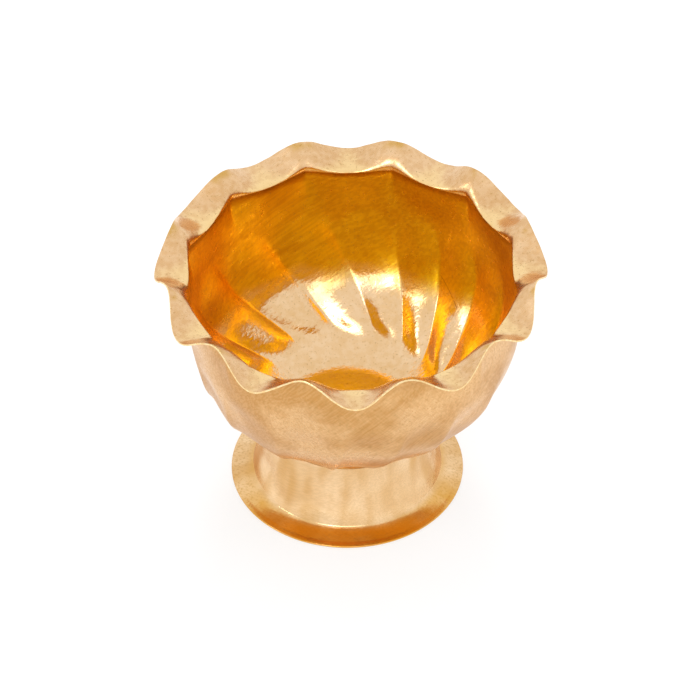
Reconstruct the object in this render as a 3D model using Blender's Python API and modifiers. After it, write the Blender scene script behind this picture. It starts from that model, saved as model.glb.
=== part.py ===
"""Fluted brass bowl on a spun pedestal foot. Metres, +Z up.

The origin is on the bowl's axis, at the level of the surface the foot rests on. The bowl is one sheet,
spun to a round blank, then fluted low on the wall and crimped at the rim. The foot is a second spun
sheet, open underneath, and a ring of braze holds the two together.
"""
import math

import bpy
from mathutils import Vector

# Driving dimensions
RIM_RADIUS = 0.075  # mean radius of the ruffled edge
RIM_HEIGHT = 0.1086  # mean height of the ruffled edge
BOWL_SHEET = 0.0006
FOOT_SHEET = 0.0008
LOBES = 12  # waves round the rim, and sides of the neck
FLUTES = 17  # swirled petals pressed into the lower wall
GAP = 0.0003  # between pieces that meet

# Bowl: radii and heights of the turned blank
FLOOR_RADIUS = 0.365 * RIM_RADIUS
FLOOR_HEIGHT = RIM_HEIGHT - 1.045 * RIM_RADIUS
FLOOR_RISE = math.radians(26)  # slope of the wall where it leaves the floor
SHOULDER_RADIUS = 0.884 * RIM_RADIUS
SHOULDER_HEIGHT = RIM_HEIGHT - 0.14 * RIM_RADIUS
NECK_RADIUS = 0.868 * RIM_RADIUS
NECK_HEIGHT = RIM_HEIGHT - 0.071 * RIM_RADIUS
WALL_PULLS = (0.387 * RIM_RADIUS, 0.492 * RIM_RADIUS)  # how far the wall runs straight at each end
WALL_STEPS = 12
NECK_STEPS = 3
LIP_STEPS = 5
BOWL_STEPS = 144  # twelve to a lobe

# Bowl: press work at the rim
LOBE_PHASE = math.radians(1.0)  # the front wave's dip, round from -Y
RIM_SPREAD = 0.026 * RIM_RADIUS  # a wave's dips stand this far out
RIM_WAVE = 0.057 * RIM_RADIUS  # height of a wave's crest above the mean
NECK_WAVE = 0.008 * RIM_RADIUS
OVAL = 0.011 * RIM_RADIUS  # the bowl is this much deeper than wide, each way
CORNER_START = RIM_HEIGHT - 0.36 * RIM_RADIUS  # the neck's corners fade in from here
CORNER_FULL = RIM_HEIGHT - 0.05 * RIM_RADIUS

# Bowl: press work on the wall
FLUTE_DEPTH = 0.037 * RIM_RADIUS
FLUTE_ROUNDING = 0.05  # softens the crease between two petals
FLUTE_LEAN = 0.72  # under 1, a petal is deepest on one side of its middle
FLUTE_TOP = RIM_HEIGHT - 0.35 * RIM_RADIUS
FLUTE_HIGH = RIM_HEIGHT - 0.74 * RIM_RADIUS
FLUTE_LOW = RIM_HEIGHT - 0.86 * RIM_RADIUS  # deepest from here to FLUTE_FULL
FLUTE_FULL = RIM_HEIGHT - 0.88 * RIM_RADIUS
FLUTE_END = RIM_HEIGHT - 0.985 * RIM_RADIUS
HIGH_STRENGTH = 0.5  # share of the depth at FLUTE_HIGH and above
ARCH_DROP = 0.12 * RIM_RADIUS  # how far the arches' ends hang below their tops
ARCH_EDGE = 0.16 * RIM_RADIUS  # height over which an arch sinks in
FLUTE_SWIRL = math.radians(31)  # how far a petal turns from its arch to the floor
SWIRL_TURN = 0.507  # share of the swirl reached at FLUTE_LOW
FRONT_SWIRL = 0.2  # share of the swirl that the front petals have
FLUTE_PHASE = math.radians(3.2)
FLUTE_DRIFT = math.radians(3.4)  # the petals are set out by eye, wider on one side
FLUTE_WOBBLE = math.radians(2.6)
WOBBLE_PHASE = math.radians(345)

# Bowl: how far it stands off the crimped rim's axis
FOOT_OFFSET = -0.0015  # at the floor, and so for the foot and the braze
BELLY_OFFSET = 0.0011
NECK_OFFSET = -0.0008  # toward the front
WALL_LOW = RIM_HEIGHT - 0.84 * RIM_RADIUS
LEAN_HIGH = RIM_HEIGHT - 0.50 * RIM_RADIUS
BELLY_HEIGHT = RIM_HEIGHT - 0.30 * RIM_RADIUS
BELLY_SWELL = 0.012 * RIM_RADIUS
SWELL_LOW = RIM_HEIGHT - 0.68 * RIM_RADIUS
SWELL_HIGH = RIM_HEIGHT - 0.62 * RIM_RADIUS

# Foot: middle of the sheet, from the seat that laps the bowl's underside down to the edge that rests
SEAT_INNER = 0.385 * RIM_RADIUS
COLLAR_RADIUS = 0.435 * RIM_RADIUS
COLLAR_BEND = 0.0015
SKIRT_RADIUS = 0.512 * RIM_RADIUS  # where the skirt turns out into the flange
SKIRT_HEIGHT = 0.0030
FOOT_RADIUS = 0.636 * RIM_RADIUS
REST_WIDTH = 0.0020  # flat band that rests
SKIRT_PULLS = (0.0120, 0.0070)
FLARE = 0.00135  # the flange leaves the skirt at 45 degrees, this far out and down, and flattens
SEAT_STEPS = 1
BEND_STEPS = 3
SKIRT_STEPS = 8
FLANGE_STEPS = 4
FOOT_STEPS = 60

# Braze: a fillet in the corner between the bowl's underside and the foot's collar
BRAZE_LEG = 0.0024
BRAZE_STEPS = 3


def clear_scene():
    for obj in list(bpy.data.objects):
        bpy.data.objects.remove(obj)


def bezier(points, steps):
    """Points along a Bezier curve of any order, its first point left out."""
    line = []
    for step in range(1, steps + 1):
        row = [Vector(point) for point in points]
        while len(row) > 1:
            row = [a.lerp(b, step / steps) for a, b in zip(row, row[1:])]
        line.append(row[0])
    return line


def ramp(start, end, value, low=0, high=1):
    """Eases from low to high as the value goes from start to end."""
    share = min(max((value - start) / (end - start), 0), 1)
    return low + (high - low) * share * share * (3 - 2 * share)


def turned(name, profile, steps):
    """The surface that a profile of (radius, height) sweeps round +Z, as a mesh of its own."""
    mesh = bpy.data.meshes.new(name + "_profile")
    edges = [(i, i + 1) for i in range(len(profile) - 1)]
    mesh.from_pydata([(radius, 0, height) for radius, height in profile], edges, [])
    blank = bpy.data.objects.new(name + "_profile", mesh)
    bpy.context.scene.collection.objects.link(blank)
    screw = blank.modifiers.new("turn", "SCREW")
    screw.steps = screw.render_steps = steps
    screw.use_merge_vertices = True
    screw.merge_threshold = 0.00001
    graph = bpy.context.evaluated_depsgraph_get()
    surface = bpy.data.meshes.new_from_object(blank.evaluated_get(graph))
    bpy.data.objects.remove(blank)
    surface.name = name
    return surface


def brass(name, color, roughness):
    material = bpy.data.materials.new(name)
    material.use_nodes = True
    shader = material.node_tree.nodes["Principled BSDF"]
    shader.inputs["Base Color"].default_value = (*color, 1)
    shader.inputs["Metallic"].default_value = 1
    shader.inputs["Roughness"].default_value = roughness
    return material


def place(name, mesh, material, collection, sheet=0):
    """An object of this mesh, thickened to a sheet if one is given, half of it to each side."""
    mesh.materials.clear()
    mesh.materials.append(material)
    mesh.shade_smooth()
    mesh.set_sharp_from_angle(angle=math.radians(40))
    obj = bpy.data.objects.new(name, mesh)
    collection.objects.link(obj)
    if sheet:
        shell = obj.modifiers.new("sheet", "SOLIDIFY")
        shell.thickness = sheet
        shell.offset = 0
    return obj


def bowl_profile():
    """Middle of the sheet, from the centre of the floor up the wall, in at the neck and out to the edge."""
    corner = Vector((FLOOR_RADIUS, FLOOR_HEIGHT))
    shoulder = Vector((SHOULDER_RADIUS, SHOULDER_HEIGHT))
    neck = Vector((NECK_RADIUS, NECK_HEIGHT))
    edge = Vector((RIM_RADIUS, RIM_HEIGHT))
    low_pull, high_pull = WALL_PULLS
    leave = corner + low_pull * Vector((math.cos(FLOOR_RISE), math.sin(FLOOR_RISE)))
    arrive = shoulder - high_pull * Vector((0, 1))
    above_shoulder = Vector((SHOULDER_RADIUS, (SHOULDER_HEIGHT + NECK_HEIGHT) / 2))
    above_neck = Vector((NECK_RADIUS, (NECK_HEIGHT + RIM_HEIGHT) / 2))
    profile = [Vector((0, FLOOR_HEIGHT)), Vector((FLOOR_RADIUS / 2, FLOOR_HEIGHT)), corner]
    profile += bezier([corner, leave, arrive, shoulder], WALL_STEPS)
    profile += bezier([shoulder, above_shoulder, neck], NECK_STEPS)
    profile += bezier([neck, above_neck, edge], LIP_STEPS)
    return profile


def flute(angle, height):
    """How far the petals push the wall in here."""
    down = max((FLUTE_TOP - height) / (FLUTE_TOP - FLOOR_HEIGHT), 0)
    front = math.cos(angle)
    drift = FLUTE_DRIFT * front + FLUTE_WOBBLE * math.cos(3 * angle - WOBBLE_PHASE)
    swirl = FLUTE_SWIRL * ramp(-0.2, 0.8, front, 1, FRONT_SWIRL)
    ridge = FLUTE_PHASE + drift - FLUTE_SWIRL * SWIRL_TURN - swirl * (down * down - SWIRL_TURN)
    turn = ((angle - ridge) * FLUTES / (2 * math.pi)) % 1
    across = math.sin(math.pi * turn**FLUTE_LEAN)
    petal = math.hypot(across, FLUTE_ROUNDING) - FLUTE_ROUNDING
    arch = FLUTE_TOP - ARCH_DROP * (1 - petal) ** 2
    strength = ramp(0, ARCH_EDGE, arch - height)
    strength *= ramp(FLUTE_LOW, FLUTE_HIGH, height, 1, HIGH_STRENGTH)
    strength *= ramp(FLUTE_END, FLUTE_FULL, height)
    return FLUTE_DEPTH * petal * strength


def pressed(point):
    """Where the fluting and crimping move a point of the turned bowl."""
    radius = math.hypot(point.x, point.y)
    height = point.z
    angle = math.atan2(point.x, -point.y) + LOBE_PHASE
    dip = math.cos(LOBES * (angle - LOBE_PHASE))
    side = 2 * math.pi / LOBES
    from_middle = (angle - LOBE_PHASE + side / 2) % side - side / 2
    flat_side = math.cos(side / 2) / math.cos(from_middle)
    round_side = (1 + math.cos(side / 2)) / 2
    corners = (flat_side - round_side) * ramp(CORNER_START, CORNER_FULL, height)
    lip = max((height - NECK_HEIGHT) / (RIM_HEIGHT - NECK_HEIGHT), 0)

    radius *= 1 + corners * (1 - lip)
    radius -= flute(angle, height)
    radius += RIM_SPREAD * dip * lip
    radius += OVAL * math.cos(2 * angle) * ramp(WALL_LOW, SHOULDER_HEIGHT, height)
    radius += BELLY_SWELL * ramp(WALL_LOW, SWELL_LOW, height) * ramp(SWELL_HIGH, BELLY_HEIGHT, height, 1, 0)
    aside = ramp(FLUTE_FULL, LEAN_HIGH, height, FOOT_OFFSET, BELLY_OFFSET)
    aside -= ramp(BELLY_HEIGHT, NECK_HEIGHT, height, 0, BELLY_OFFSET)
    back = ramp(WALL_LOW, SHOULDER_HEIGHT, height, 0, NECK_OFFSET)
    back -= ramp(NECK_HEIGHT, RIM_HEIGHT, height, 0, NECK_OFFSET)
    wave = RIM_WAVE * lip + NECK_WAVE * (1 - lip) * ramp(SHOULDER_HEIGHT, NECK_HEIGHT, height)
    return Vector((aside + radius * math.sin(angle), back - radius * math.cos(angle), height - wave * dip))


def make_bowl(collection):
    mesh = turned("fluted_bowl", bowl_profile(), BOWL_STEPS)
    for vertex in mesh.vertices:
        vertex.co = pressed(vertex.co)
    place("fluted_bowl", mesh, brass("bowl_brass", (0.83, 0.56, 0.22), 0.22), collection, BOWL_SHEET)


def under_bowl(radius, clearance):
    """Height this far below the middle of the bowl's sheet, on the slope round its floor."""
    middle = FLOOR_HEIGHT + math.tan(FLOOR_RISE) * (radius - FLOOR_RADIUS)
    return middle - clearance / math.cos(FLOOR_RISE)


def foot_profile():
    """From the seat's inner edge out to the collar, down the waisted skirt and out over the flange."""
    clearance = BOWL_SHEET / 2 + GAP + FOOT_SHEET / 2
    seat = Vector((SEAT_INNER, under_bowl(SEAT_INNER, clearance)))
    bend = COLLAR_RADIUS - COLLAR_BEND
    top = Vector((bend, under_bowl(bend, clearance)))
    corner = Vector((COLLAR_RADIUS, under_bowl(COLLAR_RADIUS, clearance)))
    collar = corner - COLLAR_BEND * Vector((0, 1))
    skirt = Vector((SKIRT_RADIUS, SKIRT_HEIGHT))
    rest = Vector((FOOT_RADIUS - REST_WIDTH, FOOT_SHEET / 2))
    edge = Vector((FOOT_RADIUS, FOOT_SHEET / 2))
    high_pull, low_pull = SKIRT_PULLS
    down = collar - high_pull * Vector((0, 1))
    turn_out = skirt + low_pull * Vector((-1, 2)).normalized()
    flare = skirt + FLARE * Vector((1, -1))
    profile = [seat] + bezier([seat, top], SEAT_STEPS)
    profile += bezier([top, corner, collar], BEND_STEPS)
    profile += bezier([collar, down, turn_out, skirt], SKIRT_STEPS)
    profile += bezier([skirt, flare, rest], FLANGE_STEPS)
    return profile + [edge]


def make_foot(collection):
    mesh = turned("pedestal_foot", foot_profile(), FOOT_STEPS)
    foot = place("pedestal_foot", mesh, brass("foot_brass", (0.80, 0.56, 0.26), 0.3), collection, FOOT_SHEET)
    foot.location.x = FOOT_OFFSET
    return foot


def braze_section():
    """Closed section of the fillet: down a hollow arc, up the collar's side, and back under the bowl."""
    clearance = BOWL_SHEET / 2 + GAP
    side = COLLAR_RADIUS + FOOT_SHEET / 2 + GAP
    outer = side + BRAZE_LEG
    high = Vector((outer, under_bowl(outer, clearance)))
    inner = Vector((side, under_bowl(side, clearance)))
    low = inner - BRAZE_LEG * Vector((0, 1))
    return [high] + bezier([high, inner.lerp(low, 0.3), low], BRAZE_STEPS) + [inner, high]


def make_braze(collection, foot):
    mesh = turned("braze_joint", braze_section(), FOOT_STEPS)
    braze = place("braze_joint", mesh, brass("braze_brass", (0.72, 0.47, 0.20), 0.35), collection)
    braze.parent = foot


def main():
    clear_scene()
    collection = bpy.data.collections.new("fluted_brass_bowl")
    bpy.context.scene.collection.children.link(collection)
    make_bowl(collection)
    foot = make_foot(collection)
    make_braze(collection, foot)


main()
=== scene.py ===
"""A ruffled and fluted brass bowl on a pedestal foot, in the order it is made and put together."""
import math

import bpy
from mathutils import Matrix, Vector


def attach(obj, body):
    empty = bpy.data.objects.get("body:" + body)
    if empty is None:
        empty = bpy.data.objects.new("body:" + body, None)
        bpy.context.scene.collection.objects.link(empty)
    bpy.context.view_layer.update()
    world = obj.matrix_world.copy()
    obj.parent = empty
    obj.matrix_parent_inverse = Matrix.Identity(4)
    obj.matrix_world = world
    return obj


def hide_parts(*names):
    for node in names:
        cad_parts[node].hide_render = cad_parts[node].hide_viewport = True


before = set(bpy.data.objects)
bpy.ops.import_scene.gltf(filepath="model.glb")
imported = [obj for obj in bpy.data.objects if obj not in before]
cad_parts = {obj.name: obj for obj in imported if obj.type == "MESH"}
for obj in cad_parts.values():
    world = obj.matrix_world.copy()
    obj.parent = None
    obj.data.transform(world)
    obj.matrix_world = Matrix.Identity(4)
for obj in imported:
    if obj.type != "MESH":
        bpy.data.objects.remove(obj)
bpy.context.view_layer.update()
BODY = "root"


# ---------------------------------------------------------------- Camera
# The bowl is seen from the front and above, far enough off that its circles hardly taper. The rim's size is
# given here, because the view is set out from it.
RIM_RADIUS = 0.075
RIM_HEIGHT = 0.1086
VIEW_ELEVATION = math.radians(40.27)
VIEW_DISTANCE = 14 * RIM_RADIUS
VIEW_LENS = 139.9
VIEW_SIDE = -0.0012
AIM = Vector((-0.0004, 0, RIM_HEIGHT - 0.6 * RIM_RADIUS))


def add_camera():
    camera = bpy.data.objects.new("camera", bpy.data.cameras.new("camera"))
    bpy.context.scene.collection.objects.link(camera)
    back = VIEW_DISTANCE * math.cos(VIEW_ELEVATION)
    rise = VIEW_DISTANCE * math.sin(VIEW_ELEVATION)
    camera.location = (VIEW_SIDE, -back, RIM_HEIGHT + rise)
    camera.rotation_euler = (AIM - camera.location).to_track_quat("-Z", "Y").to_euler()
    camera.data.lens = VIEW_LENS
    bpy.context.scene.camera = camera


add_camera()


# ---------------------------------------------------------------- Bowl: the spun blank
# One disc of brass sheet is spun over a former: a flat floor, a round wall that closes slightly, a tight
# neck, and a lip that flares out. Its middle surface is turned here; the sheet gets its thickness last.
SHEET = 0.0006
EDGE_ROUNDING = 0.3
FLOOR_RADIUS = 0.365 * RIM_RADIUS
FLOOR_HEIGHT = RIM_HEIGHT - 1.045 * RIM_RADIUS
FLOOR_RISE = math.radians(26)
SHOULDER = Vector((0.884 * RIM_RADIUS, RIM_HEIGHT - 0.14 * RIM_RADIUS))
NECK = Vector((0.868 * RIM_RADIUS, RIM_HEIGHT - 0.071 * RIM_RADIUS))
EDGE = Vector((RIM_RADIUS, RIM_HEIGHT))
WALL_PULLS = (0.387 * RIM_RADIUS, 0.492 * RIM_RADIUS)
FLOOR_STEPS = 5
WALL_STEPS = 62
NECK_STEPS = 14
LIP_STEPS = 22
BOWL_STEPS = 432


def bezier(points, steps):
    """Points along a Bezier curve of any order, its first point left out."""
    line = []
    for step in range(1, steps + 1):
        row = [Vector(point) for point in points]
        while len(row) > 1:
            row = [a.lerp(b, step / steps) for a, b in zip(row, row[1:])]
        line.append(row[0])
    return line


def turned_blank(name, profile, steps):
    """An object that turns a profile of (radius, height) round +Z with a Screw modifier."""
    mesh = bpy.data.meshes.new(name)
    edges = [(i, i + 1) for i in range(len(profile) - 1)]
    mesh.from_pydata([(radius, 0, height) for radius, height in profile], edges, [])
    blank = bpy.data.objects.new(name, mesh)
    bpy.context.scene.collection.objects.link(blank)
    screw = blank.modifiers.new("turn", "SCREW")
    screw.steps = screw.render_steps = steps
    screw.use_merge_vertices = True
    screw.merge_threshold = 0.00001
    return blank


def bowl_profile():
    corner = Vector((FLOOR_RADIUS, FLOOR_HEIGHT))
    leave = corner + WALL_PULLS[0] * Vector((math.cos(FLOOR_RISE), math.sin(FLOOR_RISE)))
    arrive = SHOULDER - WALL_PULLS[1] * Vector((0, 1))
    bend = Vector((SHOULDER.x, (SHOULDER.y + NECK.y) / 2))
    rise = Vector((NECK.x, (NECK.y + EDGE.y) / 2))
    middle = Vector((0, FLOOR_HEIGHT))
    profile = [middle] + bezier([middle, corner], FLOOR_STEPS)
    profile += bezier([corner, leave, arrive, SHOULDER], WALL_STEPS)
    profile += bezier([SHOULDER, bend, NECK], NECK_STEPS)
    return profile + bezier([NECK, rise, EDGE], LIP_STEPS)


# ---------------------------------------------------------------- Bowl: fluting and crimping
# The blank is pressed into a fluted former, which leaves swirled petals low on the wall, and its lip is
# crimped with a tool into waves, which pull the neck into flat sides between corners.
LOBES = 12
LOBE_PHASE = math.radians(1.0)
LIP_WAVE = 0.057 * RIM_RADIUS
FLUTES = 17
FLUTE_PHASE = math.radians(3.2)
FLUTE_DRIFT = math.radians(3.4)  # the former's petals are cut by eye, wider on one side than the other
FLUTE_WOBBLE = math.radians(2.6)
WOBBLE_WAVES = 3
WOBBLE_PHASE = math.radians(345)
FOOT_OFFSET = -0.0015
BELLY_OFFSET = 0.0011
NECK_OFFSET = -0.0008
FLUTE_TOP = RIM_HEIGHT - 0.35 * RIM_RADIUS
FLUTE_HIGH = RIM_HEIGHT - 0.74 * RIM_RADIUS
FLUTE_LOW = RIM_HEIGHT - 0.86 * RIM_RADIUS
FLUTE_FULL = RIM_HEIGHT - 0.88 * RIM_RADIUS
FLUTE_END = RIM_HEIGHT - 0.985 * RIM_RADIUS
HIGH_STRENGTH = 0.5
ARCH_EASE = 0.16 * RIM_RADIUS
FLUTE_TURN = 0.507  # how much of the swirl is reached at the height where the petals are deepest
FRONT_EDGE = -0.2  # cosines of the angles between which the swirl dies down to its share in front
FRONT_FULL = 0.8
FRONT_SWIRL = 0.2
WALL_LOW = RIM_HEIGHT - 0.84 * RIM_RADIUS
BELLY_HEIGHT = RIM_HEIGHT - 0.30 * RIM_RADIUS
LEAN_HIGH = RIM_HEIGHT - 0.50 * RIM_RADIUS
SWELL_LOW = RIM_HEIGHT - 0.68 * RIM_RADIUS
SWELL_HIGH = RIM_HEIGHT - 0.62 * RIM_RADIUS
CORNERS_START = RIM_HEIGHT - 0.36 * RIM_RADIUS
CORNERS_FULL = RIM_HEIGHT - 0.05 * RIM_RADIUS
LUMPS_PER_METRE = 42.0
RIPPLES_PER_METRE = 120.0
RIPPLE_LEVEL = 0.7  # over the middle of the noise, so that a ripple seldom lifts the lip


class Wire:
    """A node socket that Python arithmetic extends with Math nodes, in a geometry or a shader tree."""

    def __init__(self, bench, socket):
        self.bench = bench
        self.socket = socket

    def math(self, operation, *others):
        inputs = dict(enumerate((self, *others)))
        return self.bench.wire("ShaderNodeMath", {"operation": operation}, inputs)

    def __add__(self, other):
        return self.math("ADD", other)

    def __sub__(self, other):
        return self.math("SUBTRACT", other)

    def __rsub__(self, other):
        return (self * -1) + other

    def __mul__(self, other):
        return self.math("MULTIPLY", other)

    def __truediv__(self, other):
        return self.math("DIVIDE", other)

    def __rtruediv__(self, other):
        return (self ** -1) * other

    def __pow__(self, other):
        return self.math("POWER", other)

    __radd__ = __add__
    __rmul__ = __mul__


class Bench:
    """A node tree to build on. node() adds any node; wire() adds one and takes an output of it."""

    def __init__(self, tree):
        self.tree = tree

    def feed(self, socket, value):
        if isinstance(value, Wire):
            self.tree.links.new(value.socket, socket)
        else:
            socket.default_value = value

    def node(self, kind, settings=None, inputs=None):
        made = self.tree.nodes.new(kind)
        for name, value in (settings or {}).items():
            setattr(made, name, value)
        for key, value in (inputs or {}).items():
            self.feed(made.inputs[key], value)
        return made

    def wire(self, kind, settings=None, inputs=None, output=0):
        return Wire(self, self.node(kind, settings, inputs).outputs[output])

    def ramp(self, value, start, end, low=0.0, high=1.0):
        """Eases from low to high as value goes from start to end."""
        inputs = {"Value": value, "From Min": start, "From Max": end, "To Min": low, "To Max": high}
        return self.wire("ShaderNodeMapRange", {"interpolation_type": "SMOOTHSTEP"}, inputs)


class PressTool(Bench):
    """A geometry tree with named sizes, which moves the points of a blank."""

    def __init__(self, name, sizes):
        super().__init__(bpy.data.node_groups.new(name, "GeometryNodeTree"))
        face = self.tree.interface
        face.new_socket("Geometry", in_out="INPUT", socket_type="NodeSocketGeometry")
        face.new_socket("Geometry", in_out="OUTPUT", socket_type="NodeSocketGeometry")
        for size, value in sizes.items():
            socket = face.new_socket(size, in_out="INPUT", socket_type="NodeSocketFloat")
            socket.default_value = value
        self.group = self.node("NodeGroupInput")
        place = self.node("GeometryNodeInputPosition")
        parts = self.node("ShaderNodeSeparateXYZ", None, {0: Wire(self, place.outputs[0])})
        self.x, self.y, self.z = (Wire(self, parts.outputs[axis]) for axis in range(3))
        self.position = Wire(self, place.outputs[0])

    def size(self, name):
        return Wire(self, self.group.outputs[name])

    def lumps(self, per_metre):
        """Smooth noise over the blank, about so many lumps to a metre."""
        inputs = {"Vector": self.position, "Scale": per_metre, "Detail": 1.0}
        return self.wire("ShaderNodeTexNoise", None, inputs)

    def finish(self, position, material):
        """Moves the points there, then ends the tree in Realize Instances and Set Material."""
        blank = self.size("Geometry")
        moved = self.wire("GeometryNodeSetPosition", None, {"Geometry": blank, "Position": position})
        smooth = self.wire("GeometryNodeSetShadeSmooth", None, {"Geometry": moved})
        real = self.wire("GeometryNodeRealizeInstances", None, {"Geometry": smooth})
        painted = self.wire("GeometryNodeSetMaterial", None, {"Geometry": real, "Material": material})
        self.node("NodeGroupOutput", None, {"Geometry": painted})


def bowl_tool(material):
    """Flutes the wall, flattens the neck's sides and waves the lip."""
    tool = PressTool("flute_and_crimp", {
        "Flute depth": 0.037 * RIM_RADIUS,
        "Belly swell": 0.012 * RIM_RADIUS,
        "Flute rounding": 0.05,
        "Flute lean": 0.72,
        "Flute swirl": math.radians(31),
        "Arch drop": 0.12 * RIM_RADIUS,
        "Oval": 0.011 * RIM_RADIUS,
        "Rim spread": 0.026 * RIM_RADIUS,
        "Rim wave": LIP_WAVE,
        "Neck wave": 0.008 * RIM_RADIUS,
        "Hand dents": 0.0010,
        "Lip dents": 0.0011,
    })
    radius = (tool.x * tool.x + tool.y * tool.y).math("SQRT")
    angle = tool.x.math("ARCTAN2", tool.y * -1)
    height = tool.z
    dip = ((angle - LOBE_PHASE) * LOBES).math("COSINE")
    lip = ((height - NECK.y) / (EDGE.y - NECK.y)).math("MAXIMUM", 0.0)

    side = 2 * math.pi / LOBES
    from_middle = (angle - LOBE_PHASE + side / 2).math("FLOORED_MODULO", side) - side / 2
    flat_side = math.cos(side / 2) / from_middle.math("COSINE")
    round_side = (1 + math.cos(side / 2)) / 2
    corners = (flat_side - round_side) * tool.ramp(height, CORNERS_START, CORNERS_FULL)

    down = ((FLUTE_TOP - height) / (FLUTE_TOP - FLOOR_HEIGHT)).math("MAXIMUM", 0.0)
    front = angle.math("COSINE")
    wobble = (angle * WOBBLE_WAVES - WOBBLE_PHASE).math("COSINE") * FLUTE_WOBBLE
    drift = front * FLUTE_DRIFT + wobble
    swirl = tool.size("Flute swirl") * tool.ramp(front, FRONT_EDGE, FRONT_FULL, 1.0, FRONT_SWIRL)
    ridge = FLUTE_PHASE + drift - tool.size("Flute swirl") * FLUTE_TURN - swirl * (down * down - FLUTE_TURN)
    turn = ((angle - ridge) * (FLUTES / (2 * math.pi))).math("FRACT")
    across = (turn.math("POWER", tool.size("Flute lean")) * math.pi).math("SINE")
    rounding = tool.size("Flute rounding")
    petal = (across * across + rounding * rounding).math("SQRT") - rounding
    arch = FLUTE_TOP - tool.size("Arch drop") * (1 - petal) * (1 - petal)
    strength = tool.ramp(arch - height, 0.0, ARCH_EASE)
    strength = strength * tool.ramp(height, FLUTE_LOW, FLUTE_HIGH, 1.0, HIGH_STRENGTH)
    strength = strength * tool.ramp(height, FLUTE_END, FLUTE_FULL)

    high_part = tool.ramp(height, NECK.y, EDGE.y)
    wall_part = tool.ramp(height, FLUTE_END, FLUTE_LOW) * (1 - high_part)
    radius = radius + tool.size("Hand dents") * (tool.lumps(LUMPS_PER_METRE) - 0.5) * wall_part
    lift = tool.size("Lip dents") * (tool.lumps(RIPPLES_PER_METRE) - RIPPLE_LEVEL) * high_part
    wave = tool.size("Rim wave") * lip
    wave = wave + tool.size("Neck wave") * (1 - lip) * tool.ramp(height, SHOULDER.y, NECK.y)
    radius = radius * (corners * (1 - lip) + 1)
    radius = radius - tool.size("Flute depth") * petal * strength + tool.size("Rim spread") * dip * lip
    radius = radius + tool.size("Oval") * (angle * 2).math("COSINE") * tool.ramp(height, WALL_LOW, SHOULDER.y)
    swell = tool.ramp(height, WALL_LOW, SWELL_LOW) * tool.ramp(height, SWELL_HIGH, BELLY_HEIGHT, 1.0, 0.0)
    radius = radius + tool.size("Belly swell") * swell
    lean = tool.ramp(height, FLUTE_FULL, LEAN_HIGH, FOOT_OFFSET, BELLY_OFFSET)
    lean = lean - tool.ramp(height, BELLY_HEIGHT, NECK.y, 0.0, BELLY_OFFSET)
    forward = tool.ramp(height, WALL_LOW, SHOULDER.y, 0.0, NECK_OFFSET)
    forward = forward - tool.ramp(height, NECK.y, EDGE.y, 0.0, NECK_OFFSET)
    placed = tool.wire("ShaderNodeCombineXYZ", None, {
        "X": radius * angle.math("SINE") + lean,
        "Y": forward - radius * angle.math("COSINE"),
        "Z": height + lift - wave * dip,
    })
    tool.finish(placed, material)
    return tool.tree


def pressed(blank, tree):
    """The blank after its press tool, as a plain mesh object in the blank's place."""
    press = blank.modifiers.new("press", "NODES")
    press.node_group = tree
    for item in tree.interface.items_tree:
        if item.in_out == "INPUT" and item.socket_type == "NodeSocketFloat":
            press[item.identifier] = item.default_value
    graph = bpy.context.evaluated_depsgraph_get()
    mesh = bpy.data.meshes.new_from_object(blank.evaluated_get(graph))
    piece = bpy.data.objects.new(blank.name, mesh)
    bpy.context.scene.collection.objects.link(piece)
    bpy.data.objects.remove(blank)
    return piece


def rolled(piece, thickness):
    """Gives the surface its sheet thickness, half to each side, with the cut edge a little rounded."""
    shell = piece.modifiers.new("sheet", "SOLIDIFY")
    shell.thickness = thickness
    shell.offset = 0
    shell.material_offset = min(len(piece.data.materials) - 1, 1)
    shell.material_offset_rim = len(piece.data.materials) - 1
    edge = piece.modifiers.new("filed_edge", "BEVEL")
    edge.width = thickness * EDGE_ROUNDING
    edge.segments = 2
    edge.limit_method = "ANGLE"
    edge.angle_limit = math.radians(60)
    return piece


SCRATCH_TOP = (math.radians(144), RIM_HEIGHT - 0.62 * RIM_RADIUS)  # (angle, height) of each end
SCRATCH_END = (math.radians(123.5), RIM_HEIGHT - 0.74 * RIM_RADIUS)
SCRATCH_WIDTH = 0.0007
PALE_REFLECTION_FULL = 0.052  # heights between which the painted pale reflection of the sky low down gives way to the painted deep gold of the wall
PALE_REFLECTION_END = 0.064
LIP_LINE_WAVE = 0.010 * RIM_RADIUS
DEEP_GOLD_REFLECTION = ((0.87, 0.51, 0.012, 1), (0.68, 0.34, 0.006, 1))
PALE_SKY_REFLECTION = ((0.87, 0.61, 0.36, 1), (0.79, 0.51, 0.25, 1))
LIP_SATIN = ((0.86, 0.58, 0.33, 1), (0.74, 0.45, 0.21, 1))
LIP_ROOT_HIGHLIGHT = (1.0, 0.74, 0.36, 1)
CREST_AMBER = (0.66, 0.38, 0.08, 1)
SPECK_BROWN = (0.42, 0.22, 0.04, 1)
SCRATCH_BROWN = (0.30, 0.13, 0.01, 1)
BRUSHED = ((0.84, 0.52, 0.25, 1), (0.60, 0.305, 0.095, 1))
BRUSH_BROWN = (0.50, 0.27, 0.085, 1)
UNDERSIDE_SHADE = (0.74, 0.36, 0.05, 1)
CUT_EDGE_AND_HIGHLIGHT = ((0.98, 0.78, 0.44, 1), (0.90, 0.62, 0.28, 1))


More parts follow.
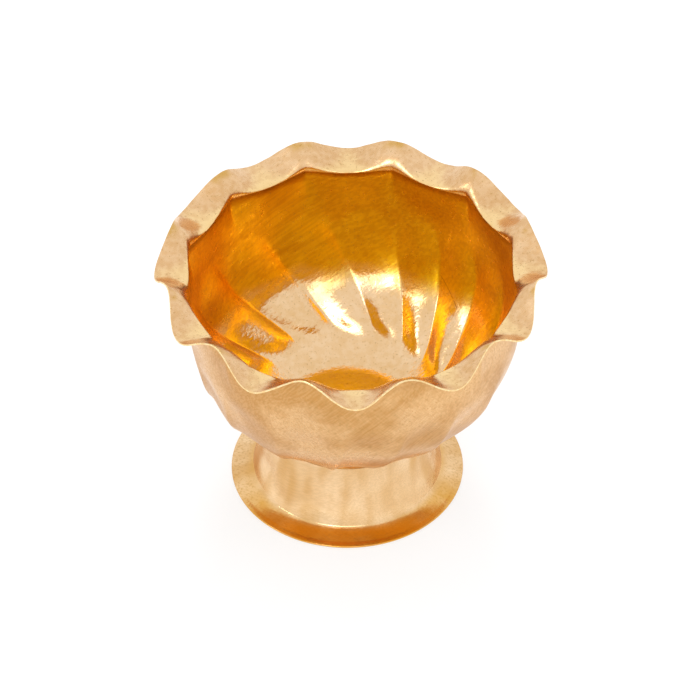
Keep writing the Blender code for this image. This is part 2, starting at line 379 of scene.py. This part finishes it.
class Finish(Bench):
    """A material tree that reads the object's own coordinates, in metres."""

    def __init__(self, name):
        self.material = bpy.data.materials.new(name)
        self.material.use_nodes = True
        super().__init__(self.material.node_tree)
        self.place = self.wire("ShaderNodeTexCoord", output="Object")
        parts = self.node("ShaderNodeSeparateXYZ", None, {0: self.place})
        self.x, self.y, self.height = (Wire(self, parts.outputs[axis]) for axis in range(3))
        self.angle = self.x.math("ARCTAN2", self.y * -1)

    def noise(self, vector, scale, detail=2.0, low=0.35, high=0.65):
        """Noise from 0 to 1, with the middle of its range stretched."""
        inputs = {"Vector": vector, "Scale": scale, "Detail": detail}
        return self.ramp(self.wire("ShaderNodeTexNoise", None, inputs), low, high)

    def strokes(self, lean, turn, fine=800.0, long=70.0):
        """Short straight scratches along a direction that leans from +Z by lean, then turns about +Z."""
        settings = {"vector_type": "TEXTURE"}
        stretch = (1 / fine, 1 / fine, 1 / long)
        inputs = {"Vector": self.place, "Rotation": (0, lean, turn), "Scale": stretch}
        return self.noise(self.wire("ShaderNodeMapping", settings, inputs), 1.0, 1.0)

    def scratch(self, top, end, width):
        """One thin straight line on the wall, from one (angle, height) to another."""
        share = (self.height - top[1]) / (end[1] - top[1])
        away = ((self.angle - top[0] - share * (end[0] - top[0])) * RIM_RADIUS).math("ABSOLUTE")
        along = self.ramp(share, 0.0, 0.15) * self.ramp(share, 0.8, 1.0, 1.0, 0.0)
        return self.ramp(away, width, 0.0) * along

    def blend(self, share, first, second):
        inputs = {0: share, 6: first, 7: second}
        return self.wire("ShaderNodeMix", {"data_type": "RGBA"}, inputs, output=2)

    def finish(self, color, roughness, relief, depth):
        shader = self.tree.nodes["Principled BSDF"]
        bump = self.wire("ShaderNodeBump", None, {"Strength": 1.0, "Distance": depth, "Height": relief})
        shader.inputs["Metallic"].default_value = 1
        self.feed(shader.inputs["Base Color"], color)
        self.feed(shader.inputs["Roughness"], roughness)
        self.feed(shader.inputs["Normal"], bump)
        return self.material


def inside_brass():
    """Polished hard, so it mirrors itself, with the mirroring painted in: deep gold on the wall for brass
    reflected in brass, pale brass low down for the sky reflected there, and paler satin on the lip.
    """
    brass = Finish("bowl_inside")
    patches = brass.noise(brass.place, 55.0, 4.0)
    grain = brass.noise(brass.place, 420.0, 3.0)
    specks = brass.noise(brass.place, 1100.0, 2.0, 0.60, 0.72)
    rubbed = brass.strokes(1.2, 0.5)
    streaks = brass.strokes(0.35, -0.6)
    # Painted reflection: the wall's deep gold stands for brass mirrored in brass, and the pale brass for the
    # sky mirrored low down.
    gold = brass.blend(patches * 0.5 + rubbed * 0.5, *DEEP_GOLD_REFLECTION)
    pale_reflection = brass.blend(patches * 0.5 + grain * 0.5, *PALE_SKY_REFLECTION)
    bright = brass.blend(patches * 0.4 + grain * 0.6, *LIP_SATIN)
    dip = ((brass.angle - LOBE_PHASE) * LOBES).math("COSINE")
    above_neck = brass.height + dip * LIP_LINE_WAVE + (specks + grain) * 0.0004
    lip = brass.ramp(above_neck, NECK.y - 0.0004, NECK.y + 0.0012)
    # Painted reflection: this mask sets where the pale low zone gives way to the deep gold wall.
    low = brass.ramp(brass.height + patches * 0.004, PALE_REFLECTION_FULL, PALE_REFLECTION_END)
    wall = low * (1 - lip)
    # Painted highlight: a bright band along the lip's root, where the bend from neck to lip would catch the
    # light.
    root = brass.ramp(above_neck, NECK.y + 0.0004, NECK.y + 0.0028, 1.0, 0.0) * lip
    outer = brass.ramp(brass.height + dip * LIP_WAVE, NECK.y + 0.0030, EDGE.y - 0.0002)
    bloom = brass.ramp(dip, -0.55, -0.95) * outer * brass.noise(brass.place, 190.0, 4.0, 0.40, 0.60)
    color = brass.blend(lip, brass.blend(low, pale_reflection, gold), bright)
    color = brass.blend(root * 0.9, color, LIP_ROOT_HIGHLIGHT)
    color = brass.blend(bloom * 0.75, color, CREST_AMBER)
    color = brass.blend(specks * 0.4, color, SPECK_BROWN)
    scratch = brass.scratch(SCRATCH_TOP, SCRATCH_END, SCRATCH_WIDTH)
    color = brass.blend(scratch * (0.6 + grain * 0.4), color, SCRATCH_BROWN)
    roughness = 0.10 + rubbed * 0.05 + grain * 0.05 + lip * 0.12 - root * 0.10 + wall * 0.17
    return brass.finish(color, roughness, rubbed * 0.3 + streaks * 0.3 + grain * 0.4, 0.00004)


def outside_brass():
    """Left satin from the brush, with crossed marks, a thin brown bloom, and painted shade in amber on the
    underside low down.
    """
    brass = Finish("bowl_outside")
    patches = brass.noise(brass.place, 38.0, 7.0, 0.40, 0.62)
    strokes = brass.strokes(0.8, 0.0, 1300.0, 120.0)
    crossed = brass.strokes(-0.7, 0.3, 1500.0, 160.0)
    specks = brass.noise(brass.place, 900.0, 2.0, 0.55, 0.70)
    tint = brass.blend(patches * 0.75 + strokes * 0.25, *BRUSHED)
    color = brass.blend(crossed * 0.22 + specks * 0.34, tint, BRUSH_BROWN)
    # Painted shade: the underside low down, in shade above the foot, is painted amber.
    underside_shade = brass.ramp(brass.height, FLUTE_LOW, FLUTE_END, 1.0, 0.0)
    color = brass.blend(underside_shade, UNDERSIDE_SHADE, color)
    roughness = 0.26 + strokes * 0.08 + patches * 0.06
    return brass.finish(color, roughness, strokes * 0.5 + crossed * 0.5, 0.000025)


def edge_brass():
    """The cut edge of the sheet, filed smooth and worn bright, and painted paler still as a highlight along
    the edge.
    """
    brass = Finish("bowl_edge")
    nicks = brass.noise(brass.place, 700.0)
    color = brass.blend(nicks, *CUT_EDGE_AND_HIGHLIGHT)
    return brass.finish(color, 0.22 + nicks * 0.1, nicks, 0.00005)


bowl = turned_blank("bowl_sheet", bowl_profile(), BOWL_STEPS)
bowl = pressed(bowl, bowl_tool(inside_brass()))
bowl.data.materials.append(outside_brass())
bowl.data.materials.append(edge_brass())
rolled(bowl, SHEET)
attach(bowl, BODY)
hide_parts("fluted_bowl")


# ---------------------------------------------------------------- Foot
# The pedestal is a second disc of brass sheet, thicker than the bowl's, spun to a waisted skirt with a flat
# flange and open underneath. Its top is turned in to lap the bowl's underside round the flat floor.
FOOT_SHEET = 0.0008
GAP = 0.0003
SEAT_INNER = 0.385 * RIM_RADIUS
COLLAR_RADIUS = 0.435 * RIM_RADIUS
COLLAR_BEND = 0.0015
SKIRT = Vector((0.512 * RIM_RADIUS, 0.0030))
FOOT_RADIUS = 0.636 * RIM_RADIUS
REST_WIDTH = 0.0020
FLARE = 0.00135  # the flange leaves the skirt at 45 degrees and flattens
SKIRT_PULLS = (0.0120, 0.0070)
FOOT_STEPS = 288
DENTS_LOW = 0.010
DENTS_HIGH = 0.021
DENTS_END = 0.027
DENTS_PER_METRE = 62.0
SPUN_PALE = (0.95, 0.68, 0.40, 1)
SPUN_DEEP = (0.72, 0.42, 0.16, 1)
FILED_BROWN = (0.52, 0.27, 0.07, 1)
FLANGE_FRONT_REFLECTION = (0.76, 0.38, 0.035, 1)
SKIRT_ROOT_SHADE = (0.70, 0.36, 0.06, 1)


def under_bowl(radius, clearance):
    """Height this far below the middle of the bowl's sheet, on the slope round its floor."""
    middle = FLOOR_HEIGHT + math.tan(FLOOR_RISE) * (radius - FLOOR_RADIUS)
    return middle - clearance / math.cos(FLOOR_RISE)


def foot_profile():
    clearance = SHEET / 2 + GAP + FOOT_SHEET / 2
    seat = Vector((SEAT_INNER, under_bowl(SEAT_INNER, clearance)))
    top_radius = COLLAR_RADIUS - COLLAR_BEND
    top = Vector((top_radius, under_bowl(top_radius, clearance)))
    corner = Vector((COLLAR_RADIUS, under_bowl(COLLAR_RADIUS, clearance)))
    collar = corner - COLLAR_BEND * Vector((0, 1))
    down = collar - SKIRT_PULLS[0] * Vector((0, 1))
    turn_out = SKIRT + SKIRT_PULLS[1] * Vector((-1, 2)).normalized()
    rest = Vector((FOOT_RADIUS - REST_WIDTH, FOOT_SHEET / 2))
    edge = Vector((FOOT_RADIUS, FOOT_SHEET / 2))
    profile = [seat] + bezier([seat, top], 3) + bezier([top, corner, collar], 6)
    profile += bezier([collar, down, turn_out, SKIRT], 36)
    flare = SKIRT + FLARE * Vector((1, -1))
    return profile + bezier([SKIRT, flare, rest], 12) + [edge]


def foot_tool(material):
    """Sets the foot on the leaning floor's axis, with the shallow dents of hand work in its skirt."""
    tool = PressTool("set_foot", {"Offset": FOOT_OFFSET, "Dents": 0.0016})
    skirt = tool.ramp(tool.z, SKIRT.y, DENTS_LOW) * tool.ramp(tool.z, DENTS_HIGH, DENTS_END, 1.0, 0.0)
    grow = tool.size("Dents") * (tool.lumps(DENTS_PER_METRE) - 0.5) * skirt / COLLAR_RADIUS + 1
    parts = {"X": tool.x * grow + tool.size("Offset"), "Y": tool.y * grow, "Z": tool.z}
    tool.finish(tool.wire("ShaderNodeCombineXYZ", None, parts), material)
    return tool.tree


def spun_brass():
    """Brighter than the bowl's outside, with soft vertical stripes of painted reflection, crossed file marks,
    and amber low down: painted reflection on the flange's front and painted shade round the skirt's root.
    """
    brass = Finish("foot_brass")
    patches = brass.noise(brass.place, 60.0, 4.0)
    filed = brass.strokes(1.4, 0.8, 1400.0, 200.0)
    crossed = brass.strokes(1.4, -0.6, 1400.0, 200.0)
    # Painted reflection: soft vertical stripes round the skirt stand for its surroundings mirrored in it,
    # mixed below with random patches of the metal's own tone.
    around = {"X": brass.angle.math("COSINE") * 4, "Y": brass.angle.math("SINE") * 4, "Z": brass.height * 25}
    reflection_bands = brass.noise(brass.wire("ShaderNodeCombineXYZ", None, around), 1.0, 1.0)
    specks = brass.noise(brass.place, 900.0, 2.0, 0.50, 0.64)
    flange = brass.ramp(brass.height, SKIRT.y + 0.0004, SKIRT.y - 0.0014)
    front = brass.ramp(brass.angle.math("COSINE"), 0.0, 0.7)
    # Painted shade: a deep amber ring in the fillet round the skirt's root, on the sides only.
    root = brass.ramp(brass.height, SKIRT.y + 0.0060, SKIRT.y + 0.0010) * (1 - flange) * (1 - front)
    color = brass.blend(patches * 0.4 + reflection_bands * 0.6, SPUN_PALE, SPUN_DEEP)
    color = brass.blend(crossed * 0.15 + flange * specks * 0.35, color, FILED_BROWN)
    # Painted reflection: the front of the flange is painted deep amber for the bowl's underside mirrored in
    # it.
    color = brass.blend(flange * front * (0.6 + patches * 0.3), color, FLANGE_FRONT_REFLECTION)
    color = brass.blend(root * 0.55, color, SKIRT_ROOT_SHADE)
    roughness = 0.12 + patches * 0.07 + filed * 0.04
    return brass.finish(color, roughness, crossed * 0.5 + filed * 0.5, 0.00002)


foot_brass = spun_brass()
foot = turned_blank("foot_sheet", foot_profile(), FOOT_STEPS)
foot = rolled(pressed(foot, foot_tool(foot_brass)), FOOT_SHEET)
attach(foot, BODY)
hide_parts("pedestal_foot")


# ---------------------------------------------------------------- Braze
# A brass filler rod is melted and run round the corner between the bowl's underside and the foot's collar.
# It alone holds the foot to the bowl.
BRAZE_LEG = 0.0024
FILLER = ((0.70, 0.42, 0.16, 1), (0.58, 0.32, 0.11, 1))


def braze_section():
    clearance = SHEET / 2 + GAP
    side = COLLAR_RADIUS + FOOT_SHEET / 2 + GAP
    outer = side + BRAZE_LEG
    high = Vector((outer, under_bowl(outer, clearance)))
    inner = Vector((side, under_bowl(side, clearance)))
    low = inner - BRAZE_LEG * Vector((0, 1))
    return [high] + bezier([high, inner.lerp(low, 0.3), low], 10) + [inner, high]


def cast_filler():
    """Duller and browner than the sheet, with the small lumps of a melted rod."""
    brass = Finish("braze_brass")
    lumps = brass.noise(brass.place, 420.0, 3.0)
    color = brass.blend(lumps, *FILLER)
    return brass.finish(color, 0.34 + lumps * 0.14, lumps, 0.0002)


braze_brass = cast_filler()
braze = pressed(turned_blank("braze_ring", braze_section(), FOOT_STEPS), foot_tool(braze_brass))
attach(braze, BODY)
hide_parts("braze_joint")


# ---------------------------------------------------------------- Floor and studio light
# The bowl stands on white paper under a white sky. A window and small lamps in front and at the left give
# the highlights, and two more lamps, unseen in the brass, light its right side and back.
FLOOR_SIZE = 6.0
FLOOR_DROP = 0.0001
PAPER = (0.42, 0.425, 0.43, 1)
PAPER_GLOW = (0.97, 0.985, 1, 1)
GLOW_STRENGTH = 0.55
LIGHT_AIM = Vector((0, 0, 0.05))


def add_floor():
    mesh = bpy.data.meshes.new("floor")
    half = FLOOR_SIZE / 2
    corners = [(-half, -half), (half, -half), (half, half), (-half, half)]
    mesh.from_pydata([(x, y, -FLOOR_DROP) for x, y in corners], [], [(0, 1, 2, 3)])
    floor = bpy.data.objects.new("floor", mesh)
    bpy.context.scene.collection.objects.link(floor)
    material = bpy.data.materials.new("floor_paper")
    material.use_nodes = True
    shader = material.node_tree.nodes["Principled BSDF"]
    shader.inputs["Base Color"].default_value = PAPER
    shader.inputs["Roughness"].default_value = 0.8
    shader.inputs["Emission Color"].default_value = PAPER_GLOW
    shader.inputs["Emission Strength"].default_value = GLOW_STRENGTH
    mesh.materials.append(material)


def add_softbox(name, place, size, power, mirrored=True):
    light = bpy.data.lights.new(name, "AREA")
    light.shape = "RECTANGLE"
    light.size, light.size_y = size
    light.energy = power
    box = bpy.data.objects.new(name, light)
    bpy.context.scene.collection.objects.link(box)
    box.location = place
    box.rotation_euler = (LIGHT_AIM - Vector(place)).to_track_quat("-Z", "Y").to_euler()
    box.visible_glossy = mirrored


def add_sky():
    world = bpy.data.worlds.new("studio")
    bpy.context.scene.world = world
    world.use_nodes = True
    sky = world.node_tree.nodes["Background"]
    sky.inputs["Color"].default_value = (1, 1, 1, 1)
    sky.inputs["Strength"].default_value = 1.0


add_floor()
add_softbox("window", (-0.15, -0.97, 0.79), (0.9, 0.5), 2.3)
add_softbox("lamp", (-0.24, -0.88, 0.76), (0.22, 0.16), 0.8)
add_softbox("left_strip", (-0.95, -0.30, 0.75), (0.2, 0.4), 0.9)
add_softbox("right_strip", (0.95, -0.20, 0.70), (0.5, 0.7), 1.5, mirrored=False)
add_softbox("back", (0.0, 0.75, 1.05), (0.4, 0.4), 4.5, mirrored=False)
add_sky()
bpy.context.scene.view_settings.view_transform = "Standard"
